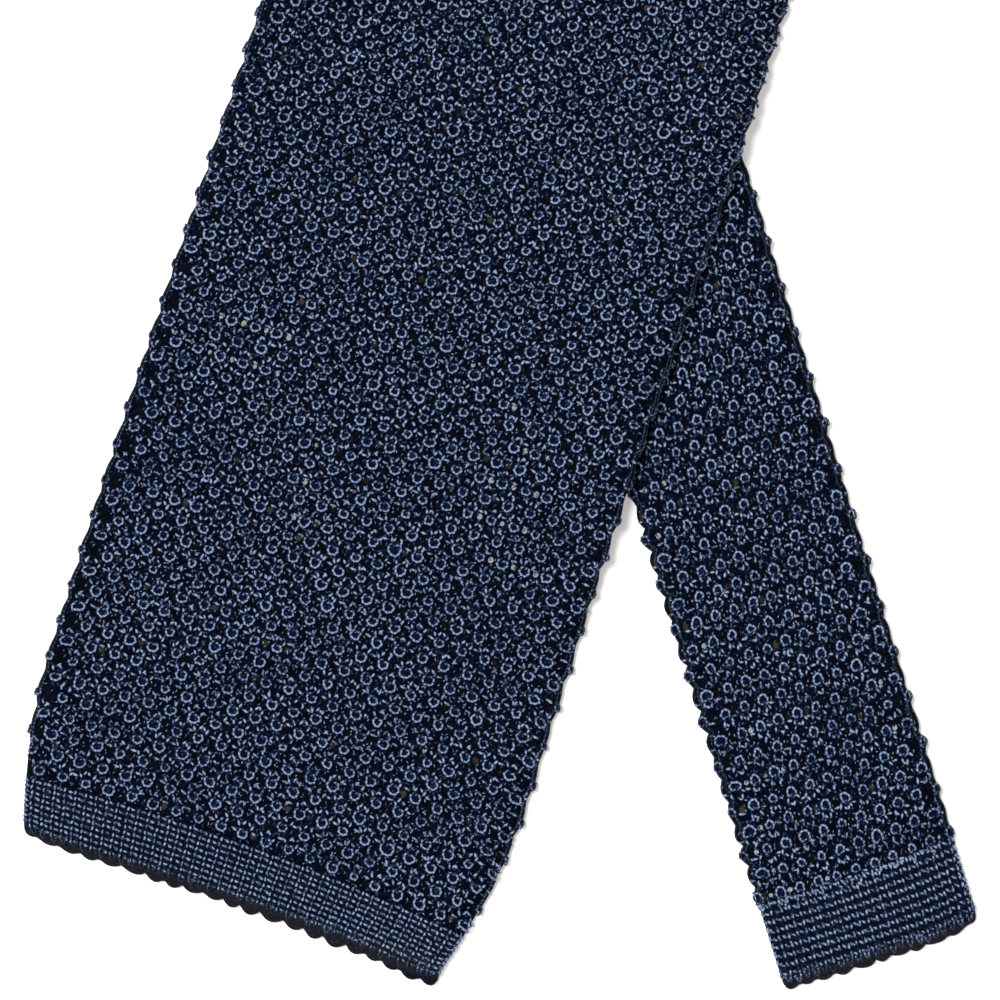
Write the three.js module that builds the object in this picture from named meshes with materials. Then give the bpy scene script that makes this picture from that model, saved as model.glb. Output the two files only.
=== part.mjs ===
// A knit tie laid flat on a table: one knitted tube, wide at one end and narrow at the other, hollow
// inside, whose neck stretch makes one round loop. The wide blade crosses over the narrow one, and each
// end is closed by a band of plain knit with a scalloped edge.
// Millimetres, +Z up, underside at z = 0, +Y from the blade ends towards the nape.

import * as THREE from "three";
import { mergeVertices } from "three/addons/utils/BufferGeometryUtils.js";

const { clamp, degToRad, lerp, smoothstep } = THREE.MathUtils;

// The tie as a length of tube, measured from the wide end along its middle line
const TIE_LENGTH = 1450;
const WIDE_WIDTH = 65.8;
const NARROW_WIDTH = 27.6;
const TAPER_START = 380; // the wide blade keeps its width this far
const TAPER_END = 520; // and is as narrow as the neck from here on
const END_PULL_IN = 8; // the plain band draws the wide end in by this much
const END_PULL_LENGTH = 25; // over this length
const NARROW_BLADE_START = 950;
const CORNER_ROUND = 1.2; // the ends' corners are cut back by this much

// How it lies: the two blades cross at this angle, at these distances from their ends
const BLADE_SPREAD = degToRad(34.7);
const WIDE_END_TO_CROSSING = 138.4;
const NARROW_END_TO_CROSSING = 145.5;
// The wide blade bends a little to its right on the way to the crossing, and back beyond it
const SWAY = { aside: 1, start: 40, middle: 125, end: 220 };

// The knit
const KNIT = 1.5; // one layer of the bobbled knit
const PLAIN_KNIT = 1.1; // one layer of the plain knit of the end bands
const HOLLOW = 0.5; // what stays open between the two layers
const KNIT_FOLD = 3; // width over which a folded side rounds off
const PLAIN_FOLD = 2;
const GAP = 0.3; // between pieces that meet, and between the blades where they cross
const DRAPE = 13; // the wide blade comes down to the table over this width beside the narrow one

// The end bands: depth at the middle, how much deeper the tie's right side is, walking from the wide end to
// the narrow one, and how much shallower both sides are than the middle
const WIDE_BAND = { depth: 8.05, skew: -1.35, bow: 1.55, scallops: 21, scallopDepth: 0.7 };
const NARROW_BAND = { depth: 11.5, skew: -0.45, bow: -0.55, scallops: 11, scallopDepth: 0.5 };
const EDGE_ROLL = 1.3; // length over which a band thins down to its closed edge
const STEPS_PER_SCALLOP = 3;

const KNIT_COLOUR = 0x2c394c;
const PLAIN_KNIT_COLOUR = 0x2a3346;

// The loop round the neck: two straight arms from the crossing, joined by one arc that they run into
const halfSpread = BLADE_SPREAD / 2;
const halfTurn = Math.PI / 2 + halfSpread;
const loopLength = TIE_LENGTH - WIDE_END_TO_CROSSING - NARROW_END_TO_CROSSING;
const armLength = loopLength / (2 + 2 * halfTurn * Math.tan(halfSpread));
const loopRadius = armLength * Math.tan(halfSpread);
const loopCentre = new THREE.Vector2(0, armLength / Math.cos(halfSpread));
const nape = WIDE_END_TO_CROSSING + loopLength / 2;

// Where the middle line is at a distance from the wide end, and the direction across it, which points to
// the right of someone walking from the wide end to the narrow one. The crossing is at 0, 0.
function middleLine(distance) {
  const pastNape = distance - nape;
  const turn = clamp(pastNape / loopRadius, -halfTurn, halfTurn);
  const straight = pastNape - turn * loopRadius;
  const sway = SWAY.aside * smoothstep(distance, SWAY.start, SWAY.middle);
  const back = smoothstep(distance, SWAY.middle, SWAY.end);
  const along = new THREE.Vector2(-Math.cos(turn), -Math.sin(turn));
  const across = new THREE.Vector2(-Math.sin(turn), Math.cos(turn));
  const point = loopCentre
    .clone()
    .addScaledVector(across, loopRadius + sway * (1 - back))
    .addScaledVector(along, straight);
  return { point, across };
}

function halfWidth(distance) {
  const width = lerp(WIDE_WIDTH, NARROW_WIDTH, smoothstep(distance, TAPER_START, TAPER_END));
  const nearEnd = clamp(1 - distance / END_PULL_LENGTH, 0, 1);
  return (width - END_PULL_IN * nearEnd ** 2) / 2;
}

// How high the wide blade is carried at a place: over the whole narrow blade, and down in an S beside it
function lift(place, distance) {
  if (distance > nape) return 0;
  const offNarrowLine = Math.abs(place.x * Math.cos(halfSpread) + place.y * Math.sin(halfSpread));
  const beside = smoothstep(offNarrowLine, NARROW_WIDTH / 2, NARROW_WIDTH / 2 + DRAPE);
  return (2 * KNIT + HOLLOW + GAP) * (1 - beside);
}

// The two ends' closed edges, as a distance from the wide end at a share of the half width, -1 to 1, with
// their corners cut back.
// The wide end runs longer towards its right corner, and the narrow end is cut back towards its left one.
function cornerCut(share) {
  return CORNER_ROUND * Math.abs(share) ** 20;
}
function wideEdge(share) {
  return 0.55 - 2.9 * ((share + 1) / 2) ** 4 + cornerCut(share);
}
function narrowEdge(share) {
  return TIE_LENGTH - 0.1 - 1.4 * clamp((-share - 0.4) / 0.6, 0, 1) ** 2 - cornerCut(share);
}

// Where each band meets its blade
function bandDepth(band, share) {
  return band.depth + band.skew * share - band.bow * share ** 2;
}
function wideBandTop(share) {
  return bandDepth(WIDE_BAND, share);
}
function narrowBandTop(share) {
  return TIE_LENGTH - bandDepth(NARROW_BAND, share);
}

// One ring of points round the tube: the upper layer from the left side to the right one, then the lower
// layer back. shares are the places across, halfThickness is the ring's own in the middle, and it rounds
// off to nothing over the width fold at each side. inset narrows the ring, for the hollow inside.
function ring({ distanceAt, shares, middleHeight, halfThickness, fold, inset = 0 }) {
  const upper = [];
  const lower = [];
  for (const share of shares) {
    const distance = distanceAt(share);
    const half = halfWidth(distance) - inset;
    const { point, across } = middleLine(distance);
    const place = point.addScaledVector(across, share * half);
    const fromSide = Math.min((1 - Math.abs(share)) * half / fold, 1);
    const thickness = halfThickness * Math.sqrt(1 - (1 - fromSide) ** 2);
    const middle = lift(place, distance) + middleHeight;
    upper.push(new THREE.Vector3(place.x, place.y, middle + thickness));
    lower.push(new THREE.Vector3(place.x, place.y, middle - thickness));
  }
  return [...upper, ...lower.reverse().slice(1, -1)];
}

// A closed mesh from the rings of a tube's outside and those of its hollow. At an open end the two are
// joined by a flat rim. At a closed one the last ring has no thickness, so its two layers meet.
function tube(name, outside, inside, colour, { closedStart = false, closedEnd = false } = {}) {
  const around = outside[0].length;
  const rings = [...outside, ...inside];
  const positions = rings.flat().flatMap((corner) => corner.toArray());
  const faces = [];
  const quad = (a, b, c, d) => faces.push(a, b, c, a, c, d);
  const at = (row, step) => row * around + (step % around);
  for (let step = 0; step < around; step++) {
    const next = step + 1;
    for (let row = 0; row < outside.length - 1; row++)
      quad(at(row, step), at(row, next), at(row + 1, next), at(row + 1, step));
    for (let row = outside.length; row < rings.length - 1; row++)
      quad(at(row, step), at(row + 1, step), at(row + 1, next), at(row, next));
    const firstInside = outside.length;
    const lastOutside = outside.length - 1;
    const lastInside = rings.length - 1;
    if (!closedStart)
      quad(at(0, step), at(firstInside, step), at(firstInside, next), at(0, next));
    if (!closedEnd)
      quad(at(lastOutside, step), at(lastOutside, next), at(lastInside, next), at(lastInside, step));
  }
  const geometry = new THREE.BufferGeometry();
  geometry.setAttribute("position", new THREE.Float32BufferAttribute(positions, 3));
  geometry.setIndex(faces);
  const material = new THREE.MeshStandardMaterial({ color: colour, roughness: 0.8, metalness: 0 });
  const mesh = new THREE.Mesh(mergeVertices(geometry, 1e-4), material);
  mesh.name = name;
  return mesh;
}

// The places across a blade: close together where its sides round off, even between them
function bladeShares(halfWidthThere, middleSteps) {
  const flat = 1 - KNIT_FOLD / halfWidthThere;
  const sides = [1, 1 - 0.12 * (1 - flat), 1 - 0.45 * (1 - flat)];
  const middle = Array.from({ length: middleSteps + 1 }, (_, i) => lerp(-flat, flat, i / middleSteps));
  return [...sides.map((share) => -share), ...middle, ...sides.reverse()];
}

// An open stretch of the bobbled tube through rows at the given distances. Its two rims follow the lines
// that startAt and endAt give, and the rows between them stay square to the middle line.
function bladeTube(name, startAt, endAt, distances, shares) {
  const rows = [startAt, ...distances.map((distance) => () => distance), endAt];
  const ringsAt = (halfThickness, fold, inset) =>
    rows.map((distanceAt) =>
      ring({ distanceAt, shares, middleHeight: KNIT + HOLLOW / 2, halfThickness, fold, inset }),
    );
  return tube(name, ringsAt(KNIT + HOLLOW / 2, KNIT_FOLD, 0), ringsAt(HOLLOW / 2, KNIT_FOLD, KNIT), KNIT_COLOUR);
}

// An end band: a shallow cup of plain knit between its top line and its closed edge. inwards is the
// direction from the edge to the neck, +1 at the wide end and -1 at the narrow one. The lower layer's
// edge hangs out in scallops, which fade out over the roll of the edge.
function bandCup(name, band, edgeAt, topAt, inwards) {
  const columns = band.scallops * STEPS_PER_SCALLOP;
  const shares = Array.from({ length: columns + 1 }, (_, i) => lerp(-1, 1, i / columns));
  const half = PLAIN_KNIT + HOLLOW / 2;
  const scallop = (share) =>
    band.scallopDepth * Math.abs(Math.sin((band.scallops * Math.PI * (share + 1)) / 2));
  const rowAt = (fromEdge, halfThickness, middleHeight, inset) => {
    const roll = clamp(1 - fromEdge / EDGE_ROLL, 0, 1);
    const distanceAt = (share) => edgeAt(share) + inwards * (fromEdge - roll * scallop(share));
    return ring({ distanceAt, shares, middleHeight, halfThickness, fold: PLAIN_FOLD, inset });
  };
  const rim = (halfThickness, inset) =>
    ring({
      distanceAt: (share) => topAt(share) - inwards * GAP,
      shares,
      middleHeight: half,
      halfThickness,
      fold: PLAIN_FOLD,
      inset,
    });
  const outside = [0, 0.12, 0.45, 1].map((share) => {
    const round = Math.sqrt(1 - (1 - share) ** 2);
    return rowAt(share * EDGE_ROLL, half * round, half * lerp(0.5, 1, round), 0);
  });
  outside.push(rim(half, 0));
  const inside = [
    rowAt(EDGE_ROLL, 0, half, PLAIN_KNIT),
    rowAt(EDGE_ROLL + PLAIN_KNIT, HOLLOW / 2, half, PLAIN_KNIT),
    rim(HOLLOW / 2, PLAIN_KNIT),
  ];
  return inwards > 0
    ? tube(name, outside, inside, PLAIN_KNIT_COLOUR, { closedStart: true })
    : tube(name, outside.reverse(), inside.reverse(), PLAIN_KNIT_COLOUR, { closedEnd: true });
}

// Rows of a stretch: even steps from one distance to another, both ends included
function evenRows(from, to, count) {
  return Array.from({ length: count + 1 }, (_, i) => lerp(from, to, i / count));
}

const tie = new THREE.Group();

// The wide blade, with close rows where it is drawn in, where it climbs over the narrow one and where it tapers
tie.add(
  bladeTube(
    "wide_blade",
    wideBandTop,
    () => TAPER_END - GAP,
    [...evenRows(12, 36, 3), ...evenRows(44, 236, 24), ...evenRows(260, TAPER_START, 3), ...evenRows(398, 502, 6)],
    bladeShares(WIDE_WIDTH / 2, 9),
  ),
);

// The neck, all but a little of it on the arc
tie.add(
  bladeTube(
    "neck_band",
    () => TAPER_END,
    () => NARROW_BLADE_START - GAP,
    evenRows(TAPER_END + 12, NARROW_BLADE_START - 12, 34),
    bladeShares(NARROW_WIDTH / 2, 1),
  ),
);

// The narrow blade, straight and flat on the table, and passing under the wide one
tie.add(
  bladeTube(
    "narrow_blade",
    () => NARROW_BLADE_START,
    narrowBandTop,
    evenRows(NARROW_BLADE_START + 30, TIE_LENGTH - 30, 10),
    bladeShares(NARROW_WIDTH / 2, 1),
  ),
);

tie.add(bandCup("wide_end_band", WIDE_BAND, wideEdge, wideBandTop, 1));
tie.add(bandCup("narrow_end_band", NARROW_BAND, narrowEdge, narrowBandTop, -1));

// The origin is on the table, under the middle of the tie's box
const middle = new THREE.Box3().setFromObject(tie).getCenter(new THREE.Vector3());
tie.position.set(-middle.x, -middle.y, 0);

export default tie;
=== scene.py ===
import math

import bpy
import numpy as np
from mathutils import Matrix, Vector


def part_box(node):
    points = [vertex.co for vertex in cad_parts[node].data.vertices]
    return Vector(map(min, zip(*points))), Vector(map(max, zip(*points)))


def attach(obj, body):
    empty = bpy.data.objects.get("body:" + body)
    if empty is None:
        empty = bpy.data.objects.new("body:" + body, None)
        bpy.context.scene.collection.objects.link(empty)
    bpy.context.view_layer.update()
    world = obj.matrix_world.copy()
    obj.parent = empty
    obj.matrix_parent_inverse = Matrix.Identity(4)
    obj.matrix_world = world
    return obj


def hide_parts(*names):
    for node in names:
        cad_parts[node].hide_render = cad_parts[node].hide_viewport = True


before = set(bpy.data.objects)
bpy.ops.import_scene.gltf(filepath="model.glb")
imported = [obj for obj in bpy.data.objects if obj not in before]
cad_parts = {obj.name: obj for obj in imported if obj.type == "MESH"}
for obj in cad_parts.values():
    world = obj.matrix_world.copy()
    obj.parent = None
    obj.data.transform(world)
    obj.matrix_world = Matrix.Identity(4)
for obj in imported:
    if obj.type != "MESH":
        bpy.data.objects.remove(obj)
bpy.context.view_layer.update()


# The knitted tube. The real tie is one long flat tube of bobbled open-work silk knit without a lining, wide
# at one end and narrow from the neck on. This is its dark ground: two layers of cloth with a thin hollow
# between them and with gaping pits that show the table. All sizes in this file are in millimetres.
TIE_LENGTH = 1450.0
WIDE_WIDTH = 65.8
NARROW_WIDTH = 27.6
TAPER = (380.0, 520.0)
END_PULL_IN = 8.0
END_PULL_LENGTH = 25.0
BLADE_SPREAD = math.radians(34.7)
WIDE_END_TO_CROSSING = 138.4
NARROW_END_TO_CROSSING = 145.5
SWAY = 1.0
SIDE_ROOM = 0.45
CARRIED_OVER = 3.8
DRAPE = 13.0
WALL_FROM_HOLLOW = 0.22

half_spread = BLADE_SPREAD / 2
half_turn = math.pi / 2 + half_spread
loop_length = TIE_LENGTH - WIDE_END_TO_CROSSING - NARROW_END_TO_CROSSING
arm_length = loop_length / (2 + 2 * half_turn * math.tan(half_spread))
loop_radius = arm_length * math.tan(half_spread)
nape = WIDE_END_TO_CROSSING + loop_length / 2
loop_centre_y = 1000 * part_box("neck_band")[1][1] - loop_radius - NARROW_WIDTH / 2
crossing_y = loop_centre_y - arm_length / math.cos(half_spread)


def smoothstep(value, low, high):
    """0 below low and 1 above high; between them 3 t^2 - 2 t^3, where t is the share of the way."""
    t = np.clip((value - low) / (high - low), 0.0, 1.0)
    return t * t * (3.0 - 2.0 * t)


def sway(along):
    """How far the wide blade's middle line bends to its right: up over 40 to 125, back over 125 to 220."""
    return SWAY * smoothstep(along, 40, 125) * (1 - smoothstep(along, 125, 220))


def middle_line(along):
    """The middle line and the direction across it, at a distance from the wide end. The loop is one arc, on
    which the turn is the distance past the nape over the radius; past half_turn the arms run straight on."""
    past_nape = along - nape
    turn = np.clip(past_nape / loop_radius, -half_turn, half_turn)
    straight = past_nape - turn * loop_radius
    out = loop_radius + sway(along)
    x = -np.sin(turn) * out - np.cos(turn) * straight
    y = loop_centre_y + np.cos(turn) * out - np.sin(turn) * straight
    return x, y, -np.sin(turn), np.cos(turn)


def half_width(along):
    """Half the tie's width: wide, then narrow over the taper, less a squared pull-in near the wide end."""
    width = WIDE_WIDTH + (NARROW_WIDTH - WIDE_WIDTH) * smoothstep(along, *TAPER)
    near_end = np.clip(1 - along / END_PULL_LENGTH, 0, 1)
    return (width - END_PULL_IN * near_end**2) / 2


# The bobbles stand in rows square to the tie and half a step apart from row to row. Near each end band the
# rows bend with the band's own top line, which runs aslant.
WIDE_BAND = dict(depth=8.05, skew=-1.35, bow=1.55, scallops=21, hang=0.7)
NARROW_BAND = dict(depth=11.5, skew=-0.45, bow=-0.55, scallops=11, hang=0.5)
COLUMN = (3.07, 2.57)
ROW = (2.47, 3.1)
FIRST_ROW = 8.45
LAST_ROW = TIE_LENGTH - 12.2
ROWS = 497

fine = np.linspace(0, TIE_LENGTH, 2901)
row_pitch = ROW[0] + (ROW[1] - ROW[0]) * smoothstep(fine, *TAPER)
row_count = np.concatenate([[0], np.cumsum(0.5 / row_pitch[1:] + 0.5 / row_pitch[:-1]) * (fine[1] - fine[0])])
row_count -= np.interp(FIRST_ROW, fine, row_count)
row_count *= ROWS / np.interp(LAST_ROW, fine, row_count)


def band_depth(band, share):
    """How deep an end band is at a share of the half width: a slanted line less a parabola."""
    return band["depth"] + band["skew"] * share - band["bow"] * share**2


def row_bend(along, share):
    """How far a row bends towards the neck at a share of the half width: with each band's top line near it,
    and a little aslant on the two blades."""
    near_wide = 1 - smoothstep(along, 14, 58)
    near_narrow = 1 - smoothstep(TIE_LENGTH - along, 13, 24)
    on_blade = smoothstep(along, 60, 85) * (1 - smoothstep(along, 200, 300))
    on_tail = smoothstep(along, 1200, 1300) * (1 - near_narrow)
    bend = (band_depth(WIDE_BAND, share) - WIDE_BAND["depth"] + 0.9) * near_wide
    bend = bend - (band_depth(NARROW_BAND, share) - NARROW_BAND["depth"]) * near_narrow
    return bend + 0.25 * share * on_blade + 0.77 * share * on_tail


def row_place(row, share):
    """Distance of a row from the wide end, at a share of the half width: the row's own, plus its bend."""
    along = np.interp(row, row_count, fine)
    return along + row_bend(along, share)


def column_pitch(along):
    return COLUMN[0] + (COLUMN[1] - COLUMN[0]) * smoothstep(along, *TAPER)


def bobble_across(row, column):
    """Where a row's bobbles are: whole steps on odd rows, half a step aside on even ones. The columns run
    straight where the blade's sides sway."""
    along = np.interp(row, row_count, fine)
    aside = 0.17 - 0.27 * smoothstep(along, *TAPER) - 0.9 * sway(along)
    return (column + 0.5 * (1 - np.asarray(row) % 2)) * column_pitch(along) + aside


def section(along):
    """Half thickness, reach of the rounded sides, half length of the flat, and length round one side. The
    bobbled knit is thicker than the plain end bands, and eases into them. The side is half an ellipse."""
    bobbled = smoothstep(along, 7, 16) * smoothstep(TIE_LENGTH - along, 10, 19)
    half_thick = 1.2 + 0.25 * bobbled
    fold = 2.0 + 0.7 * bobbled
    flat = half_width(along) - SIDE_ROOM - fold
    around = math.pi * np.sqrt((fold**2 + half_thick**2) / 2)
    return half_thick, fold, flat, around


def side_arch(along, side):
    """How far a folded side stands out, in uneven arches with sharp notches between them: a root of a cosine
    wave, whose height sways from arch to arch. On the wide blade an arch takes two rows, on the narrow one a
    single row, and it is deepest there on the tie's right."""
    row = np.interp(along - row_bend(along, side), fine, row_count)
    uneven = 1 + 0.3 * np.sin(2.3 * row + side) + 0.25 * np.sin(0.9 * row + 2 * side)
    wide = 0.42 * uneven * (np.abs(np.cos(0.5 * math.pi * (row - 0.2))) ** 0.7 - 0.6)
    wide = wide * (1 - smoothstep(along, 145, 160))
    reach = 0.6 + 0.2 * side
    narrow = reach * uneven * (np.abs(np.cos(math.pi * row)) ** 0.7 - 0.6) * smoothstep(along, 1300, 1315)
    return (wide + narrow) * smoothstep(along, 9, 12) * smoothstep(TIE_LENGTH - along, 11, 14)


def lift(x, y, along):
    """The wide blade rides over the narrow one, and comes down beside it in an S over the drape's width."""
    off_line = np.abs(x * math.cos(half_spread) + (y - crossing_y) * math.sin(half_spread))
    beside = smoothstep(off_line, NARROW_WIDTH / 2, NARROW_WIDTH / 2 + DRAPE)
    return np.where(along < nape, CARRIED_OVER * (1 - beside), 0.0)


def on_tube(along, across, height=0.0):
    """A place on the cloth: across is measured round the tube from the middle of its upper layer, over the
    folded side and on under it, and height is up from the cloth along its normal. Past the flat, the angle
    round the side grows evenly from 0 on top to pi underneath."""
    half_thick, fold, flat, around = section(along)
    past = np.abs(across) - flat
    angle = np.clip(past / around, 0, 1) * math.pi
    under = np.clip(past - around, 0, None)
    normal_out = np.sin(angle) / fold
    normal_up = np.cos(angle) / half_thick
    size = np.hypot(normal_out, normal_up)
    fold = fold + side_arch(along, np.where(across < 0, -1.0, 1.0))
    out = np.minimum(np.abs(across), flat) - under + fold * np.sin(angle) + height * normal_out / size
    up = 0.02 + half_thick + half_thick * np.cos(angle) + height * normal_up / size
    x, y, right_x, right_y = middle_line(along)
    side = np.where(across < 0, -1.0, 1.0) * out
    x = x + side * right_x
    y = y + side * right_y
    return np.stack(np.broadcast_arrays(x, y, up + lift(x, y, along)), axis=-1)


def mesh_piece(name, points, faces, uv, marks=None):
    """An object from points in millimetres and face arrays of any corner count, smooth, with a UV map and
    point attributes, riding on the tie's one body."""
    mesh = bpy.data.meshes.new(name)
    corners = np.concatenate([face.ravel() for face in faces]).astype(np.int32)
    sizes = np.concatenate([np.full(len(face), face.shape[1]) for face in faces])
    mesh.vertices.add(len(points))
    mesh.vertices.foreach_set("co", (np.asarray(points) * 0.001).astype(np.float32).ravel())
    mesh.loops.add(len(corners))
    mesh.loops.foreach_set("vertex_index", corners)
    mesh.polygons.add(len(sizes))
    mesh.polygons.foreach_set("loop_start", (np.cumsum(sizes) - sizes).astype(np.int32))
    mesh.polygons.foreach_set("use_smooth", np.ones(len(sizes), dtype=bool))
    layer = mesh.uv_layers.new(name="UVMap")
    layer.data.foreach_set("uv", np.asarray(uv, dtype=np.float32)[corners].ravel())
    for mark, values in (marks or {}).items():
        attribute = mesh.attributes.new(mark, "FLOAT", "POINT")
        attribute.data.foreach_set("value", np.asarray(values, dtype=np.float32).ravel())
    mesh.update(calc_edges=True)
    piece = bpy.data.objects.new(name, mesh)
    bpy.context.scene.collection.objects.link(piece)
    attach(piece, "root")
    return piece


def ring_faces(first, rows, around, inward=False):
    """Quads between rows of points that each close on themselves, turned outwards or inwards."""
    row, step = np.meshgrid(np.arange(rows - 1), np.arange(around), indexing="ij")
    after = (step + 1) % around
    a = first + row * around + step
    b = first + row * around + after
    quads = np.stack([a, b, b + around, a + around], axis=-1)
    return quads[..., ::-1] if inward else quads


# Pits that gape so far that the table shows, as row, first column and how many side by side
WIDE_PITS = [(17, -3, 1), (19, -3, 1), (21, -3, 1), (18, 5, 3), (20, 4, 3), (22, 4, 3), (24, 5, 2)]
WIDE_PITS += [(26, 4, 1), (26, -10, 5), (24, -9, 4), (23, -10, 1), (35, -10, 1), (36, -11, 1), (38, -11, 1)]
WIDE_PITS += [(33, -6, 1)]
NARROW_PITS = [(479, 3, 2), (481, 4, 1), (486, 3, 1), (488, -5, 1), (490, -5, 1), (490, 2, 1), (490, 4, 1)]
NARROW_PITS += [(492, -5, 1), (492, 1, 4), (494, 3, 2), (495, 4, 1), (496, 3, 2), (497, -5, 1), (497, 1, 1)]
NARROW_PITS += [(497, 3, 2)]


def tube_stretch(rows, cells, pits):
    """Points, faces and lattice UV of one stretch of the tube, with a rim at each end. Each layer has an odd
    number of cells across, half a column wide, so that a pit lies in the middle of one. An open pit takes its
    cell out and puts an eight-sided hole with a wall in its place."""
    count = cells + 1
    rows = np.asarray(rows, dtype=float)[:, None]
    along = np.interp(rows, row_count, fine)
    half_thick, fold, flat, around = section(along)
    edge = flat + around / 2
    step = column_pitch(along) / 2
    step = np.minimum(step, (edge - 0.25) / (cells / 2))
    upper = (np.arange(count) - cells / 2) * step
    under = np.where(upper < 0, -1, 1) * 2 * edge - upper
    across = np.concatenate([upper, under[:, ::-1]], axis=1)
    share = np.clip(np.concatenate([upper, upper[:, ::-1]], axis=1) / half_width(along), -1, 1)
    along = row_place(rows, share)
    wall = -(section(along)[0] - WALL_FROM_HOLLOW)
    lattice = np.stack([across / column_pitch(along), np.broadcast_to(rows, across.shape)], axis=-1)
    lattice = lattice.reshape(-1, 2)
    points = [on_tube(along, across).reshape(-1, 3), on_tube(along, across, wall).reshape(-1, 3)]
    size = len(points[0])
    uv = [lattice, lattice]
    outside = ring_faces(0, len(rows), 2 * count)
    inside = ring_faces(size, len(rows), 2 * count, inward=True)
    steps = np.arange(2 * count)
    after = (steps + 1) % (2 * count)
    last = size - 2 * count
    rims = [
        np.stack([steps, steps + size, after + size, after], axis=-1),
        np.stack([last + steps, last + after, last + after + size, last + steps + size], axis=-1),
    ]
    shown = np.ones(outside.shape[:2], dtype=bool)
    holes = []
    start = 2 * size
    corner_angle = math.radians(22.5) + math.radians(45) * np.arange(8)
    for row, first, many in pits:
        for column in range(first, first + many):
            i = int(np.argmin(np.abs(rows[:, 0] - (row - 0.2))))
            place = float(bobble_across(row, column + 0.5))
            j = int(np.searchsorted(upper[i], place)) - 1
            radius = 0.29 + 0.11 * ((row * 7 + column * 5) % 11) / 10
            low = upper[i, j] + radius + 0.1
            high = upper[i, j + 1] - radius - 0.1
            place = min(max(place, low), high)
            middle = row_place(row, place / half_width(along[i, j]))
            hole_across = place - radius * np.cos(corner_angle)
            hole_along = middle - 1.15 * radius * np.sin(corner_angle)
            flip = np.where(hole_across < 0, -1, 1) * 2 * edge[i] - hole_across
            depth = -(section(hole_along)[0] - WALL_FROM_HOLLOW)
            rings = [
                on_tube(hole_along, hole_across),
                on_tube(hole_along, hole_across, depth),
                on_tube(hole_along, flip, depth),
                on_tube(hole_along, flip),
            ]
            points += rings
            uv += [np.tile([column, row], (8, 1))] * 4
            mirror = 2 * count - 2 - j
            shown[i, [j, mirror]] = False
            cell = i * 2 * count
            top = cell + np.array([j, j + 1, j + 1 + 2 * count, j + 2 * count])
            low_side = cell + np.array([mirror + 1, mirror, mirror + 2 * count, mirror + 1 + 2 * count])
            for ring, (corners, turned) in enumerate(
                [(top, False), (top + size, True), (low_side + size, False), (low_side, True)]
            ):
                o = start + 8 * ring + np.arange(8)
                sides = [
                    [corners[0], corners[1], o[2], o[1]],
                    [corners[1], corners[2], o[4], o[3]],
                    [corners[2], corners[3], o[6], o[5]],
                    [corners[3], corners[0], o[0], o[7]],
                ]
                wedges = [
                    [corners[1], o[3], o[2]],
                    [corners[2], o[5], o[4]],
                    [corners[3], o[7], o[6]],
                    [corners[0], o[1], o[0]],
                ]
                order = -1 if turned else 1
                holes.append(np.array(sides)[:, ::order])
                holes.append(np.array(wedges)[:, ::order])
            for ring in (0, 2):
                o = start + 8 * ring + np.arange(8)
                n = np.roll(o, -1)
                holes.append(np.stack([o, n, n + 8, o + 8], axis=-1))
            start += 32
    faces = [outside[shown], inside[shown], *rims, *holes]
    return np.concatenate(points), faces, np.concatenate(uv)


# The two ends, which are seen close, have every stitch, and three cells to a row: the middle one holds the
# pit. They are the rows up to NEAR_LAST and from NEAR_NARROW_FIRST on.
NEAR_LAST = 54
NEAR_NARROW_FIRST = ROWS - 36
join_row = float(np.interp(TAPER[1], fine, row_count)) // 1 + 0.5
in_row = np.array([0.5, 0.8, 1.2])
wide_close = (np.arange(-1, NEAR_LAST + 3)[:, None] + in_row).ravel()
narrow_close = (np.arange(NEAR_NARROW_FIRST - 4, ROWS)[:, None] + in_row).ravel()
wide_rows = [*wide_close, *np.arange(wide_close[-1] + 1.3, join_row - 1, 3), join_row]
narrow_rows = [*np.arange(join_row, narrow_close[0] - 1, 3), *narrow_close, ROWS + 0.23]
wide_points, wide_faces, wide_uv = tube_stretch(wide_rows, 43, WIDE_PITS)
narrow_points, narrow_faces, narrow_uv = tube_stretch(narrow_rows, 21, NARROW_PITS)
ground = mesh_piece(
    "knitted_tube",
    np.concatenate([wide_points, narrow_points]),
    [*wide_faces, *[face + len(wide_points) for face in narrow_faces]],
    np.concatenate([wide_uv, narrow_uv]),
)
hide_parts("wide_blade", "neck_band", "narrow_blade")


def place(tree, kind, inputs=None, **settings):
    """A node in a tree, with its settings, and each named or numbered input set or joined to a socket."""
    node = tree.nodes.new(kind)
    for name, value in settings.items():
        setattr(node, name, value)
    for name, value in (inputs or {}).items():
        if isinstance(value, bpy.types.NodeSocket):
            tree.links.new(value, node.inputs[name])
        else:
            node.inputs[name].default_value = value
    return node


def sums(tree, operation, *values, clamp=False):
    """One math node on sockets and numbers, and its output."""
    node = place(tree, "ShaderNodeMath", dict(enumerate(values)), operation=operation, use_clamp=clamp)
    return node.outputs[0]


def hypot(tree, x, y):
    """The distance that two steps at right angles make."""
    squares = [sums(tree, "POWER", sums(tree, "ABSOLUTE", step), 2.0) for step in (x, y)]
    return sums(tree, "SQRT", sums(tree, "ADD", *squares))


def eased(tree, value, low, high, at_low=0.0, at_high=1.0):
    """A smooth step of a value, from at_low below low to at_high above high."""
    inputs = {"Value": value, "From Min": low, "From Max": high, "To Min": at_low, "To Max": at_high}
    return place(tree, "ShaderNodeMapRange", inputs, interpolation_type="SMOOTHSTEP").outputs["Result"]


def mixed(tree, share, first, second, blend="MIX"):
    """Two colours, sockets or values, mixed by a share."""
    node = place(tree, "ShaderNodeMix", {0: share, 6: first, 7: second}, data_type="RGBA", blend_type=blend)
    return node.outputs[2]


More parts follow.
